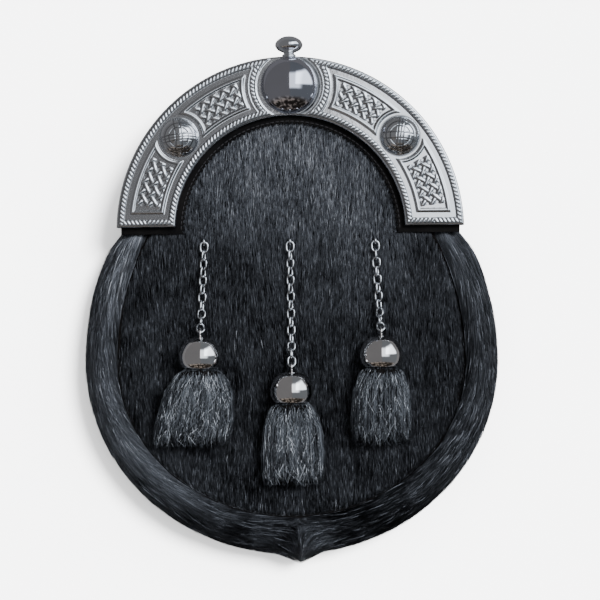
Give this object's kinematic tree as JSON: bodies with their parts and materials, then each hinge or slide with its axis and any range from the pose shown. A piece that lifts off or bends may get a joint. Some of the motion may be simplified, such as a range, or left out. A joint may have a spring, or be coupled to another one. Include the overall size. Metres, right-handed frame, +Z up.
{
  "type": "sporran pouch",
  "caption": "Full-dress sporran pouch with an arched metal cantle, domes and knotwork, a fur-covered body with a thick fur roll, and hair tassels hung on chains.",
  "frame": {"origin": "centre of the bounding box's bottom face", "axes": "+Z up out of the fur front, +Y toward the knob at the top, +X to the right of the front; the pouch lies on its back"},
  "size_m": [0.208, 0.266, 0.0609],
  "materials": {
    "fur": "short glossy black fur with cool grey streaks",
    "leather": "smooth black leather, slightly glossy",
    "metal": "polished plated metal, dark in its recesses",
    "tassel_hair": "straight dark grey hair with pale strands"
  },
  "bodies": {
    "root": {"front_panel": "fur", "fur_gusset": "fur", "top_gusset": "leather", "back_panel": "leather", "back_flap": "leather", "flap_stud": "metal", "belt_loop_left": "leather", "belt_loop_right": "leather", "cantle_backing": "leather", "cantle": "metal", "centre_dome": "metal", "side_dome_left": "metal", "side_dome_right": "metal", "finial": "metal", "chain_eye_left": "metal", "chain_left": "metal", "tassel_cap_left": "metal", "tassel_hair_left": "tassel_hair", "chain_eye_middle": "metal", "chain_middle": "metal", "tassel_cap_middle": "metal", "tassel_hair_middle": "tassel_hair", "chain_eye_right": "metal", "chain_right": "metal", "tassel_cap_right": "metal", "tassel_hair_right": "tassel_hair"}
  },
  "joints": []
}
